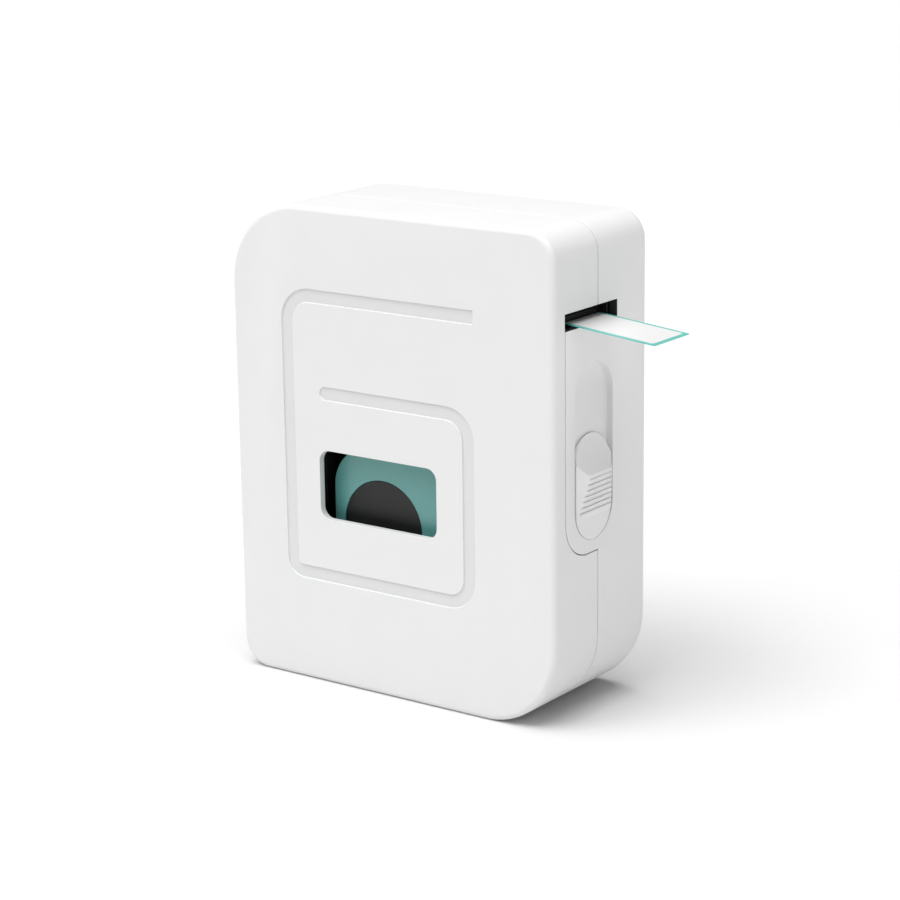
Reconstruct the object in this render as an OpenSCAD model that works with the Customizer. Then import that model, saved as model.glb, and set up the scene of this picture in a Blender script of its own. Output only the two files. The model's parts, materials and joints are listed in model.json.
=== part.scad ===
// Pocket tape label maker: hinged front lid, rear shell, tape cassette, printing and cutting works.
// Millimetres. X points out of the tape slot, the front faces -Y, Z is up.
// The origin is the middle of the case's base.

/* [Case] */
// Width of the case, without the label
case_w = 83.5; // [78:0.5:100]
// Depth of the case, front to back
case_d = 36; // [34:0.5:44]
// Height of the case
case_h = 105; // [103:0.5:126]
// Radius of the two big corners
big_corner_r = 18; // [10:0.5:20]
// Radius of the two small corners
small_corner_r = 6.5; // [5:0.5:9]
// Rounding of the front edge
front_edge_r = 1.3; // [0.6:0.1:1.5]
// Rounding of the back edge
back_edge_r = 2.8; // [1:0.1:3]
// Side and back walls
wall = 2; // [1.8:0.1:2.4]
// Front wall of the lid
front_wall = 1.6; // [1.2:0.1:2]
// Depth of the lid, from the front face to the seam
lid_d = 16.2; // [14:0.1:17]
// Gap along the seam
seam_gap = 0.2; // [0.1:0.05:0.4]

/* [Window and groove] */
// Left edge of the window, from the case's middle
window_left = -18.7; // [-20:0.1:-15]
// Width of the window
window_w = 30.85; // [24:0.1:32]
// Height of the window's sill
window_sill = 37.3; // [36:0.1:40]
// Height of the window
window_h = 15.2; // [10:0.1:18]
// Corner radius of the window
window_r = 2.5; // [1:0.1:4]
// Width of the decorative groove
groove_w = 2.9; // [2:0.1:3.5]
// Depth of the decorative groove
groove_depth = 0.35; // [0.2:0.05:0.6]

/* [Cutter slider] */
// Width of the slider track
track_w = 14.3; // [13:0.1:14.5]
// Height of the track's lower end
track_bottom = 38.9; // [37:0.1:40]
// Length of the track
track_len = 37.7; // [36:0.1:38]
// Depth of the track below the side face
track_depth = 1.5; // [1:0.1:1.6]
// Length of the slider button
button_len = 22.4; // [20:0.1:22.4]
// Height of the button's ridge above the side face
ridge_h = 1.74; // [1:0.02:2.5]
// Number of grip ribs
rib_count = 8; // [5:1:8]
// Spacing of the grip ribs
rib_pitch = 1; // [0.8:0.05:1]

/* [Tape] */
// Width of the tape
tape_w = 13.5; // [11:0.5:14]
// Middle of the tape, behind the front face
tape_sink = 13.5; // [13.4:0.1:13.9]
// Bare liner along the label's edges
liner_margin = 0.6; // [0.3:0.1:1]
// Height of the tape's line inside the case
tape_z = 86.2; // [86:0.05:86.6]
// How far the label hangs out of the case
label_out = 19.2; // [10:0.1:19.5]
// Droop of the hanging label, in degrees
label_droop = 5.6; // [0:0.1:5.6]
// Lower edge of the tape slot
slot_bottom = 84.4; // [84:0.1:84.6]
// Height of the tape slot
slot_h = 3.5; // [3:0.1:4]

/* [Cassette] */
// Left side of the cassette
cassette_left = -18.65; // [-19:0.05:-18]
// Right side of the cassette
cassette_right = 34; // [33:0.1:34]
// Underside of the cassette
cassette_bottom = 10; // [9:0.5:14]
// Top of the cassette's spool block
cassette_top = 52.7; // [52:0.1:54]
// Top of the cassette's ribbon tower
tower_top = 73.6; // [70:0.1:74]
// Gap between the lid's front face and the cassette's face
cassette_sink = 5; // [4.2:0.1:6]
// Depth of the cassette, front to back
cassette_d = 18; // [17.6:0.1:18.4]
// Wall of the cassette
cassette_wall = 1.2; // [0.8:0.1:1.4]
// Radius of the spool disc in the cassette's face
disc_r = 10.2; // [8:0.1:10.6]
// Outer radius of the roll of tape
roll_r = 11.4; // [8:0.1:11.5]

/* [Printing works] */
// Radius of the platen's rubber
platen_r = 4.2; // [3.5:0.1:4.4]
// Radius of the platen's shaft
shaft_r = 1.5; // [1.2:0.1:1.8]
// Gear module
gear_module = 0.5; // [0.5:0.01:0.5]
// Teeth of the motor pinion
pinion_teeth = 12; // [12:1:12]
// Teeth of each idler gear
idler_teeth = 30; // [30:1:30]
// Teeth of the platen gear and the take-up gear
driven_teeth = 24; // [24:1:24]
// Running clearance of shafts in their holes
running_gap = 0.05; // [0.03:0.01:0.1]

/* [Hinge and opening] */
// Outer radius of the hinge knuckles
knuckle_r = 2.2; // [1.8:0.1:2.4]
// Radius of the hinge pins
pin_r = 0.9; // [0.7:0.1:1]
// Length of one hinge knuckle
knuckle_len = 6; // [4:0.5:7]

/* [Power and charging] */
// Radius of the power button's cap
power_r = 2.6; // [2:0.1:2.6]
// Height of the power button
power_z = 60; // [55:0.5:64]
// Width of the charging socket's shell
usb_w = 8.94; // [8.9:0.02:9]
// Thickness of the charging socket's shell
usb_t = 3.26; // [3.2:0.02:3.3]
// Height of the charging socket's middle
usb_z = 30.5; // [28:0.5:34]
// Radius of the battery cell
cell_r = 7; // [6:0.1:7]
// Length of the battery cell
cell_len = 50; // [40:1:50]

/* [Hidden] */
$fn = 48;
eps = 0.01;
x_left = -case_w / 2;
x_right = case_w / 2;
y_front = -case_d / 2;
y_back = case_d / 2;
seam_y = y_front + lid_d;
lid_back = seam_y - seam_gap / 2;
shell_front = seam_y + seam_gap / 2;
lid_inner = y_front + front_wall;
shell_inner = y_back - wall;
wall_in = x_right - wall;
tape_mid = y_front + tape_sink;
lip_t = 0.9;
lip_h = 1.5;
lip_gap = 0.15;
lip_root = 2;
past = 1; // how far a cutting shape runs past the face it cuts
reach = 3; // how far a cut through the right wall starts inside it
press_gap = 0.02;
hole_gap = 0.05;
knuckle_clear = 0.3;
pad_len = 8;
pad_t = 1.2;
pad_gap = 0.2;
groove_left = window_left - 8;
groove_right = window_left + window_w + 8.3;
groove_top = window_sill + 48.55;
groove_mid = window_sill + 27.75;
groove_low = window_sill - 12.75;
groove_mid_end = window_left + 1.85;
groove_small_r = 2.6;
groove_low_r = 5.3;
groove_big_r = 5.8;

// slider
track_y = tape_mid + 1.2;
track_floor = x_right - track_depth;
track_skin = 1.2;
track_back = track_floor - track_skin;
boss_margin = 1;
slide_gap = 0.1;
stem_gap = 0.2;
button_w = track_w - 1.2;
button_lip = 0.1;
cutter_travel = track_len - button_len - slide_gap;
stem_w = 3.8;
stem_len = 3.5;
stem_z = track_bottom + 2.6;
ridge_z = track_bottom + button_len - 7.8;
nose_z = track_bottom + button_len - 6.3;
rib_w = 0.55;
rib_rise = 0.35;
rib_foot = 0.6;
rib_end = 1.5;

// tongue of the rear shell that carries the track
tongue_front = track_y - track_w / 2 - 3.3;
tongue_bottom = track_bottom - 2.6;
tongue_top = slot_bottom;
tongue_r = 8;
slot_back = tape_mid + tape_w / 2 + 3.15;
slot_front = tongue_front - seam_gap;
lip_break_y = seam_y - 5;
lip_break_z = tongue_bottom - 2;

// cassette and deck
cassette_front_y = y_front + cassette_sink;
tape_front_y = tape_mid - tape_w / 2;
tape_back_y = tape_mid + tape_w / 2;
deck_y = cassette_front_y + cassette_d;
deck_t = 1.6;
deck_back = deck_y + deck_t;
deck_gap = 0.3;
cassette_seam = (cassette_front_y + deck_y) / 2;
tower_left = 12.4;
cassette_r = 3.5;
cassette_shoulder_r = 9;
spool_x = -5.7;
spool_z = 36;
spool_core_r = 5;
post_r = 2.4;
spool_bush = 4;
post_start = 2.5;
guide_gap = 0.1;
cassette_foot_r = 0.4;
mouth_h = 6;
mouth_gap = 0.3;
mouth_t = 1.8;
drain_r = 1.6;
drain_z = cassette_bottom + 6;
drain_xs = [-14, 30];
ribbon_x = 21.4;
ribbon_z = cassette_bottom + 24;
ribbon_roll_r = 7;
ribbon_core_r = 4;
used_roll_r = 5.5;
film = 0.15;
ribbon_t = 0.1;
ribbon_side = 0.5;
ribbon_gap = 0.12;

// gear train, as seen from the front
platen_x = 27;
platen_z = tape_z + film + 0.05 + platen_r;
gear_y = deck_back + 0.4;
gear_t = 2;
pinion_pr = pinion_teeth * gear_module / 2;
idler_pr = idler_teeth * gear_module / 2;
driven_pr = driven_teeth * gear_module / 2;
to_idler = 200;
to_motor = 175;
to_lower = 285;
to_take_up = 280;
idler_pos = [platen_x, platen_z] + (driven_pr + idler_pr) * [cos(to_idler), sin(to_idler)];
motor_pos = idler_pos + (idler_pr + pinion_pr) * [cos(to_motor), sin(to_motor)];
lower_pos = idler_pos + 2 * idler_pr * [cos(to_lower), sin(to_lower)];
take_up_pos = lower_pos + (idler_pr + driven_pr) * [cos(to_take_up), sin(to_take_up)];
idler_post_r = 1.2;
motor_shaft_r = 0.75;
motor_r = 7.5;
motor_ear = 9.2;
motor_post_r = 1.6;
motor_plate_y = gear_y + gear_t + 0.4;
motor_plate_t = 0.6;
ear_w = 4.4;
ear_end = 2;
small_screw_r = 0.63;
small_screw_head_r = 1.4;
small_screw_head_t = 0.8;
small_screw_len = 2.4;
bracket_y = cassette_front_y - 1.4;
bracket_t = 1.2;
bracket_w = 12;
bracket_low = tape_z + 0.3;
bracket_web = platen_z + platen_r + 1.5;

// print head
pivot_pos = [22, 79];
pivot_r = 1;
head_top = tape_z - 0.6;
head_t = 1.2;
head_left = 20.5;
head_right = 30.5;
head_spring_x = 26;
head_spring_r = 1.3;
head_spring_wire = 0.15;
head_spring_turns = 5;
spring_shelf_z = 75.4;
shelf_t = 1.2;
shelf_w = 3.8;
shelf_y = -8;
head_sink_z = 82;
head_seat_z = 79.6;
sink_chamfer = 1.4;
ribbon_guide_r = 0.8;
ribbon_guide_z = tower_top - 2.1;

// tape route
guide_r = 2;
guide_pos = [spool_x + roll_r + film + guide_r + 2 * guide_gap, tape_z - guide_gap - guide_r];

// cutter
carriage_t = 3.6;
carriage_x1 = track_back - 0.25;
carriage_x0 = carriage_x1 - carriage_t;
blade_t = 0.5;
blade_x = carriage_x1 - 0.9 - blade_t;
web_end = blade_x - 0.3;
rest_w = 3.8;
rest_x = web_end - rest_w - 0.1;
rest_z = tape_z - 1.6;
blade_low = 81;
blade_high = 83.6;
carriage_w = 12;
carriage_h = 18;
carriage_z = track_bottom + 1.1;
blade_side = 1.2;
blade_foot = carriage_z + carriage_h + 2;
blade_screw_z = carriage_z + carriage_h + 5;
blade_screw_r = 0.8;
blade_screw_head_r = 1.3;
blade_screw_head_t = 0.7;
blade_screw_ys = [track_y - 4, track_y + 4];
holder_t = 1.2;
holder_h = 9;
guide_plate_t = 0.8;
guide_plate_x = carriage_x0 - 0.2 - guide_plate_t;
guide_low = carriage_z - 10;
guide_high = tape_z - 4.4;
guide_rail_w = 1.8;
guide_rail_t = 2.2;
guide_side_gap = 0.5;
spring_r = 1.5;
spring_wire = 0.175;
spring_turns = 14;
spring_x = carriage_x1 - 2.2;
spring_bottom = 20;
spring_post_r = 1.2;
label_x = blade_x + blade_t + 1.7;
label_drop = 0.58;
label_t = 0.05;
liner_t = 0.1;
liner_len = (x_right - label_x + label_out) / cos(label_droop);
anvil_h = 10;
anvil_t = 0.6;
anvil_x = blade_x + blade_t + 0.4;
anvil_lift = 1;
anvil_end = 0.9;

// power, board and battery
board_t = 1;
board_y = deck_back + 4.8;
board_x0 = x_left + wall + 1.75;
board_x1 = -4;
board_z0 = 16;
board_z1 = 76;
io_y = board_y - 1.4;
power_proud = 0.45;
power_flange = 0.6;
power_flange_t = 0.8;
power_gap = 0.2;
led_z = power_z + 10;
pipe_r = 1;
pipe_len = wall + 1;
led_size = 1.6;
usb_gap = 0.15;
usb_len = 7.35;
usb_wall = 0.3;
usb_mouth = 6.2;
usb_sink = 0.4;
usb_tongue = [5.4, 0.7, 6.7];
usb_tongue_in = 1;
switch_size = [3.4, 1.9, 5];
switch_tip_r = 1;
switch_tip_t = 0.2;
chip_size = [8, 1.1, 8];
chip_pos = [-24, 38];
module_size = [12, 2.2, 12];
module_pos = [-20, 50];
connector_size = [4, 2.2, 4];
flex_t = 0.25;
flex_w = 3;
flex_top = motor_pos[1] - motor_ear - motor_post_r - 0.1;
flex_y = gear_y + gear_t + 0.1;
flex_turn = 28.4;
flex_neck = 2;
flex_neck_z = tower_top + 0.4;
flex_slot_gap = 0.4;
cover_wall = 1;
cover_gap = 0.15;
cover_end = 3;
contact_t = 0.6;
contact_w = 8;
contact_side = 3;
lead_r = 0.5;
lead_gap = 0.2;
cell_x = x_left + wall + lip_gap + lip_t + 0.25 + cover_wall + cover_gap + cell_r;
cell_y = deck_y - 1.2 - cell_r;
cell_z = 22;
lead_x = cell_x + 4.3;
lead_zs = [cell_z - 1.5, cell_z + cell_len + 1.5];

// screws
screw_r = 0.9;
screw_head_r = 1.7;
screw_head_t = 1;
deck_screw_len = 8;
board_screw_len = 4;
boss_r = 2.6;
deck_screws_at = [
    [x_left + 6.2, 8.5],
    [x_left + 10.7, case_h - 12],
    [x_right - 9.7, case_h - 4.9],
    [x_right - 15.7, 6.2]
];
board_screws_at = [
    [board_x0 + 3, board_z0 + 3],
    [board_x1 - 3, board_z0 + 3],
    [board_x1 - 3, board_z1 - 12],
    [board_x0 + 3, board_z1 - 3]
];
knuckle_groups = [20, 66];
knuckle_gap = 0.2;

shell_white = [0.93, 0.93, 0.93];
teal = [0.42, 0.63, 0.60];
dark = [0.16, 0.16, 0.16];
steel = [0.72, 0.73, 0.75];
nylon = [0.88, 0.87, 0.82];

// ---------- helpers ----------

// A flat shape drawn in X and Z, given thickness from y0 to y1
module along_y(y0, y1) {
    translate([0, y1, 0]) rotate([90, 0, 0]) linear_extrude(y1 - y0) children();
}

// A flat shape drawn in Y and Z, given thickness from x0 to x1
module along_x(x0, x1) {
    translate([x0, 0, 0]) rotate([90, 0, 90]) linear_extrude(x1 - x0) children();
}

// Quarter of a disc, in the quadrant that sx and sy name
module quarter_disc(r, sx, sy) {
    intersection() {
        circle(r);
        translate([min(sx, 0) * (r + 1), min(sy, 0) * (r + 1)]) square(r + 1);
    }
}

// Rod along Y
module rod_y(x, z, r, y0, y1) {
    translate([x, y1, z]) rotate([90, 0, 0]) cylinder(r = r, h = y1 - y0);
}

// Tube along Y
module tube_y(x, z, r, bore, y0, y1) {
    difference() {
        rod_y(x, z, r, y0, y1);
        rod_y(x, z, bore, y0 - past, y1 + past);
    }
}

// Rectangle with a radius for each corner: left bottom, right bottom, right top, left top
module round_rect(x0, x1, z0, z1, radii) {
    c = [
        [x0 + radii[0], z0 + radii[0], -1, -1],
        [x1 - radii[1], z0 + radii[1], 1, -1],
        [x1 - radii[2], z1 - radii[2], 1, 1],
        [x0 + radii[3], z1 - radii[3], -1, 1]
    ];
    polygon([
        [c[0][0], z0], [c[1][0], z0], [c[1][0], c[1][1]],
        [x1, c[1][1]], [x1, c[2][1]], [c[2][0], c[2][1]],
        [c[2][0], z1], [c[3][0], z1], [c[3][0], c[3][1]],
        [x0, c[3][1]], [x0, c[0][1]], [c[0][0], c[0][1]]
    ]);
    for (i = [0:3])
        translate([c[i][0], c[i][1]]) quarter_disc(radii[i], c[i][2], c[i][3]);
}

// The case's outline, moved in by inset
function case_radii(inset) = [small_corner_r - inset, big_corner_r - inset,
    small_corner_r - inset, big_corner_r - inset];
module case_outline(inset) {
    round_rect(x_left + inset, x_right - inset, inset, case_h - inset, case_radii(inset));
}

// Ring of rounding round the case's outline. It starts at local height 0 and rises to side * r.
module edge_rounding(r, side) {
    radii = case_radii(0);
    c = [
        [x_left + radii[0], radii[0], 180],
        [x_right - radii[1], radii[1], 270],
        [x_right - radii[2], case_h - radii[2], 0],
        [x_left + radii[3], case_h - radii[3], 90]
    ];
    for (i = [0:3])
        translate([c[i][0], c[i][1], 0]) rotate([0, 0, c[i][2]])
            rotate_extrude(angle = 90, $fn = 96) translate([radii[i] - r, 0]) quarter_disc(r, 1, side);
    translate([c[0][0], r, 0]) rotate([90, 0, 90])
        linear_extrude(c[1][0] - c[0][0]) quarter_disc(r, -1, side);
    translate([c[3][0], case_h - r, 0]) rotate([90, 0, 90])
        linear_extrude(c[2][0] - c[3][0]) quarter_disc(r, 1, side);
    translate([x_left + r, c[3][1], 0]) rotate([90, 0, 0])
        linear_extrude(c[3][1] - c[0][1]) quarter_disc(r, -1, side);
    translate([x_right - r, c[2][1], 0]) rotate([90, 0, 0])
        linear_extrude(c[2][1] - c[1][1]) quarter_disc(r, 1, side);
}

// Stadium that stands upright in Y and Z
module stadium(mid_y, z0, z1, w) {
    r = w / 2;
    translate([mid_y - r, z0 + r]) square([w, z1 - z0 - w]);
    translate([mid_y, z0 + r]) intersection() {
        circle(r);
        translate([-w, -w]) square([2 * w, w]);
    }
    translate([mid_y, z1 - r]) intersection() {
        circle(r);
        translate([-w, 0]) square([2 * w, w]);
    }
}

// The tongue's outline in Y and Z, grown by grow towards the lid
module tongue_outline(grow) {
    y0 = tongue_front - grow;
    z0 = tongue_bottom - grow;
    r = tongue_r + grow;
    translate([y0 + r, z0]) square([seam_y + past - y0 - r, tongue_top - z0]);
    translate([y0, z0 + r]) square([r, tongue_top - z0 - r]);
    translate([y0 + r, z0 + r]) quarter_disc(r, -1, -1);
}

// Strip of film between two points in X and Z
module strip(a, b, t) {
    d = (b - a) / norm(b - a);
    n = [-d[1], d[0]] * t / 2;
    polygon([a - n, b - n, b + n, a + n]);
}

// Gear teeth with straight flanks. A tooth points along the angle phase.
module gear_outline(teeth, phase) {
    pr = teeth * gear_module / 2;
    outer = pr + 0.9 * gear_module;
    root = pr - 1.2 * gear_module;
    step = 360 / teeth;
    tip = step * 0.11;
    foot = step * 0.33;
    polygon([
        for (i = [0:teeth - 1])
            for (k = [[root, -foot], [outer, -tip], [outer, tip], [root, foot]])
                k[0] * [cos(phase + i * step + k[1]), sin(phase + i * step + k[1])]
    ]);
}

// Phase of a gear that meshes with another one lying back along the angle dir
function mesh_phase(other_phase, other_teeth, teeth, dir) =
    dir + 180 - (0.5 - (dir - other_phase) * other_teeth / 360) * 360 / teeth;

module gear(pos, teeth, phase, bore) {
    difference() {
        translate([pos[0], 0, pos[1]]) along_y(gear_y, gear_y + gear_t) gear_outline(teeth, phase);
        rod_y(pos[0], pos[1], bore, gear_y - past, gear_y + gear_t + past);
    }
}

// Coil spring standing on the XY plane
module coil(r, wire, h, turns) {
    steps = 12;
    sides = 6;
    n = steps * turns;
    ring = [for (i = [0:n]) for (k = [0:sides - 1])
        let (a = 360 * i / steps, b = 360 * k / sides, q = r + wire * cos(b))
            [q * cos(a), q * sin(a), wire + (h - 2 * wire) * i / n + wire * sin(b)]];
    walls = [for (i = [0:n - 1]) for (k = [0:sides - 1])
        let (p = i * sides + k, q = i * sides + (k + 1) % sides)
            [p, p + sides, q + sides, q]];
    caps = [[for (k = [0:sides - 1]) k], [for (k = [sides - 1:-1:0]) n * sides + k]];
    polyhedron(points = ring, faces = concat(walls, caps), convexity = 6);
}

module screw_y(x, z, y_head, len) {
    rod_y(x, z, screw_head_r, y_head - screw_head_t, y_head);
    rod_y(x, z, screw_r, y_head, y_head + len);
}

// Hinge knuckles: the shell has the outer two of each group, the lid the middle one
module knuckle(z0, len, r) {
    translate([x_left, seam_y, z0]) cylinder(r = r, h = len);
}

module knuckle_set(who, r, grow) {
    for (g = knuckle_groups)
        for (i = (who == "lid" ? [1] : [0, 2]))
            knuckle(g + i * (knuckle_len + knuckle_gap) - grow, knuckle_len + 2 * grow, r);
}

// ---------- case ----------

module groove_outline() {
    h = groove_w / 2;
    bars = [
        [groove_left + groove_big_r, groove_top - h,
            groove_right + h - groove_left - groove_big_r, groove_w],
        [groove_left - h, groove_low + groove_small_r, groove_w,
            groove_top - groove_big_r - groove_low - groove_small_r],
        [groove_left + groove_small_r, groove_low - h,
            groove_right - groove_low_r - groove_left - groove_small_r, groove_w],
        [groove_right - h, groove_low + groove_low_r, groove_w,
            groove_mid - groove_big_r - groove_low - groove_low_r],
        [groove_mid_end, groove_mid - h, groove_right - groove_big_r - groove_mid_end, groove_w]
    ];
    bends = [
        [groove_left + groove_big_r, groove_top - groove_big_r, groove_big_r, -1, 1],
        [groove_left + groove_small_r, groove_low + groove_small_r, groove_small_r, -1, -1],
        [groove_right - groove_low_r, groove_low + groove_low_r, groove_low_r, 1, -1],
        [groove_right - groove_big_r, groove_mid - groove_big_r, groove_big_r, 1, 1]
    ];
    for (b = bars)
        translate([b[0], b[1]]) square([b[2], b[3]]);
    for (b = bends)
        translate([b[0], b[1]]) difference() {
            quarter_disc(b[2] + h, b[3], b[4]);
            circle(b[2] - h);
        }
    translate([groove_mid_end, groove_mid]) intersection() {
        circle(h);
        translate([-2 * h, -2 * h]) square([2 * h, 4 * h]);
    }
}

module front_lid() color(shell_white) {
    difference() {
        union() {
            along_y(y_front + front_edge_r, lid_back) case_outline(0);
            along_y(y_front, y_front + front_edge_r) case_outline(front_edge_r);
            translate([0, y_front + front_edge_r, 0]) rotate([90, 0, 0]) edge_rounding(front_edge_r, 1);
        }
        along_y(lid_inner, lid_back + past) case_outline(wall);
        along_y(y_front - past, lid_inner + past)
            round_rect(window_left, window_left + window_w, window_sill, window_sill + window_h,
                [window_r, window_r, window_r, window_r]);
        along_y(y_front - past, y_front + groove_depth) groove_outline();
        along_x(wall_in - reach, x_right + past) tongue_outline(seam_gap);
        translate([wall_in - reach, slot_front, tongue_bottom + tongue_r])
            cube([wall + reach + past, seam_y + past - slot_front,
                slot_bottom + slot_h - tongue_bottom - tongue_r]);
        knuckle_set("shell", knuckle_r + knuckle_clear, knuckle_gap);
        knuckle_set("lid", pin_r + running_gap, past);
    }
    difference() {
        knuckle_set("lid", knuckle_r, 0);
        knuckle_set("lid", pin_r + running_gap, past);
    }
    for (z = [cassette_bottom + pad_len, cassette_top + 10])
        translate([cassette_right - 14, lid_inner - eps, z])
            cube([pad_t, cassette_front_y - lid_inner - pad_gap, pad_len]);
}

module rear_shell() color(shell_white) {
    difference() {
        union() {
            along_y(shell_front, y_back - back_edge_r) case_outline(0);
            along_y(y_back - back_edge_r, y_back) case_outline(back_edge_r);
            translate([0, y_back - back_edge_r, 0]) rotate([90, 0, 0]) edge_rounding(back_edge_r, -1);
            along_x(wall_in, x_right) tongue_outline(0);
        }
        along_y(shell_front - past, shell_inner) case_outline(wall);
        along_x(track_floor, x_right + past)
            stadium(track_y, track_bottom, track_bottom + track_len, track_w);
        slider_floor_slot();
        translate([wall_in - reach, slot_front, slot_bottom])
            cube([wall + reach + past, slot_back - slot_front, slot_h]);
        knuckle_set("lid", knuckle_r + knuckle_clear, knuckle_gap);
        knuckle_set("shell", pin_r + press_gap, past);
        along_x(x_left - past, x_left + wall + past) usb_outline(usb_gap);
        power_bore(power_z, power_r + power_gap);
        power_bore(led_z, pipe_r + hole_gap);
    }
    difference() {
        knuckle_set("shell", knuckle_r, 0);
        knuckle_set("shell", pin_r + press_gap, past);
    }
    shell_lip();
    track_boss();
    for (p = deck_screws_at)
        tube_y(p[0], p[1], boss_r, screw_r + press_gap, deck_back, shell_inner + eps);
    for (p = board_screws_at)
        tube_y(p[0], p[1], boss_r, screw_r + press_gap, board_y + board_t, shell_inner + eps);
}

module slider_floor_slot() {
    translate([track_back - past, track_y - stem_w / 2 - stem_gap, stem_z - 1.5 * stem_gap])
        cube([track_skin + 2 * past, stem_w + 2 * stem_gap, stem_len + cutter_travel + 3 * stem_gap]);
}

module power_bore(z, r) {
    translate([x_left - past, io_y, z]) rotate([0, 90, 0]) cylinder(r = r, h = wall + 2 * past);
}

// Locating lip inside the seam, left out where the tongue, the slot and the hinge are
module shell_lip() {
    difference() {
        union() {
            along_y(shell_front, shell_front + lip_root) difference() {
                case_outline(wall - eps);
                case_outline(wall + lip_gap + lip_t);
            }
            along_y(seam_y - lip_h, shell_front + eps) difference() {
                case_outline(wall + lip_gap);
                case_outline(wall + lip_gap + lip_t);
            }
        }
        translate([wall_in - reach, lip_break_y, lip_break_z])
            cube([wall + reach + past, seam_y + reach - lip_break_y, tape_z + anvil_h + 2 - lip_break_z]);
        knuckle_set("lid", knuckle_r + knuckle_clear, knuckle_gap);
        knuckle_set("shell", knuckle_r, 0);
    }
}

// Thicker wall behind the track
module track_boss() {
    z0 = track_bottom - boss_margin;
    z1 = track_bottom + track_len + boss_margin;
    y0 = track_y - track_w / 2 - boss_margin;
    difference() {
        translate([track_back, y0, z0])
            cube([wall_in - track_back + eps, track_w + 2 * boss_margin, z1 - z0]);
        slider_floor_slot();
    }
}

module hinge_pins() color(steel) {
    for (g = knuckle_groups)
        translate([x_left, seam_y, g]) cylinder(r = pin_r, h = 3 * knuckle_len + 2 * knuckle_gap);
}

// ---------- deck ----------

module deck_plate() color(dark) {
    difference() {
        along_y(deck_y, deck_back) case_outline(wall + deck_gap);
        deck_hole([platen_x, platen_z], shaft_r + running_gap);
        deck_hole(take_up_pos, post_r + running_gap);
        deck_hole(pivot_pos, pivot_r + press_gap);
        for (p = deck_screws_at)
            deck_hole(p, screw_r + hole_gap);
        for (z = lead_zs)
            deck_hole([lead_x, z], lead_r + lead_gap);
        for (x = drain_xs)
            deck_hole([x, drain_z], drain_r);
        translate([flex_turn - flex_slot_gap - 0.1, deck_y - past, flex_neck_z - flex_slot_gap])
            cube([flex_t + 2 * flex_slot_gap + 0.15, deck_t + 2 * past, flex_neck + 2 * flex_slot_gap]);
    }
    for (p = [idler_pos, lower_pos])
        rod_y(p[0], p[1], idler_post_r, deck_back - eps, gear_y + gear_t + 0.2);
    for (s = [-1, 1])
        tube_y(motor_pos[0], motor_pos[1] + s * motor_ear, motor_post_r, small_screw_r + press_gap,
            deck_back - eps, motor_plate_y);
    rod_y(guide_pos[0], guide_pos[1], pivot_r, tape_front_y - 0.9, deck_y + eps);
    translate([head_spring_x - shelf_w / 2 - 0.1, shelf_y, spring_shelf_z - shelf_t])
        cube([shelf_w, deck_y - shelf_y + eps, shelf_t]);
    rod_y(spring_x, spring_bottom - 1.5, spring_post_r, track_y - 3, deck_y + eps);
    translate([rest_x, tape_front_y - 1, rest_z])
        cube([rest_w, deck_y - tape_front_y + 1 + eps, shelf_t]);
}

module deck_hole(at, r) {
    rod_y(at[0], at[1], r, deck_y - past, deck_back + past);
}

module deck_screws() color(steel) {
    for (p = deck_screws_at)
        screw_y(p[0], p[1], deck_y, deck_screw_len);
}

// ---------- cutter ----------

// Side view of the button in X and Z: nose ramp, ridge, ribbed ramp and flat tail
module button_profile() {
    z0 = track_bottom;
    z1 = track_bottom + button_len;
    polygon([
        [track_floor + slide_gap, z0],
        [x_right - button_lip, z0],
        [x_right - button_lip, ridge_z - rib_count * rib_pitch],
        [x_right + ridge_h - 0.3, ridge_z - 0.6],
        [x_right + ridge_h, ridge_z],
        [x_right - button_lip, nose_z],
        [track_floor + slide_gap + 0.3, z1],
        [track_floor + slide_gap, z1]
    ]);
}

module slider_button() color(shell_white) {
    intersection() {
        along_x(track_floor + slide_gap, x_right + ridge_h + past)
            stadium(track_y, track_bottom, track_bottom + button_len, button_w);
        union() {
            along_y(track_y - button_w / 2, track_y + button_w / 2) button_profile();
            for (i = [1:rib_count - 1])
                let (z = ridge_z - i * rib_pitch, x = x_right + ridge_h * (1 - i / rib_count))
                    translate([x - rib_foot, track_y - button_w / 2 + rib_end, z - rib_w / 2])
                        cube([rib_foot + rib_rise, button_w - 2 * rib_end, rib_w]);
        }
    }
    translate([carriage_x1, track_y - stem_w / 2, stem_z])
        cube([track_floor + slide_gap - carriage_x1 + eps, stem_w, stem_len]);
}

module slider_carriage() color(nylon)
    translate([carriage_x0, track_y - carriage_w / 2, carriage_z])
        cube([carriage_x1 - carriage_x0, carriage_w, carriage_h]);

module blade_holder() color(nylon) {
    z0 = carriage_z + carriage_h;
    difference() {
        translate([blade_x - holder_t, track_y - carriage_w / 2, z0])
            cube([holder_t, carriage_w, holder_h]);
        blade_holes(blade_x - holder_t, holder_t);
    }
}

// Screw holes through the blade or its holder, from x on
module blade_holes(x, t) {
    for (y = blade_screw_ys)
        translate([x - past, y, blade_screw_z]) rotate([0, 90, 0])
            cylinder(r = blade_screw_r + press_gap, h = t + 2 * past);
}

module cutter_blade() color(steel) {
    y0 = tape_front_y - blade_side;
    y1 = tape_back_y + blade_side - 0.1;
    difference() {
        along_x(blade_x, blade_x + blade_t) polygon([
            [y0, blade_foot], [y1, blade_foot], [y1, blade_low], [y0, blade_high]
        ]);
        blade_holes(blade_x, blade_t);
    }
}

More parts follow.
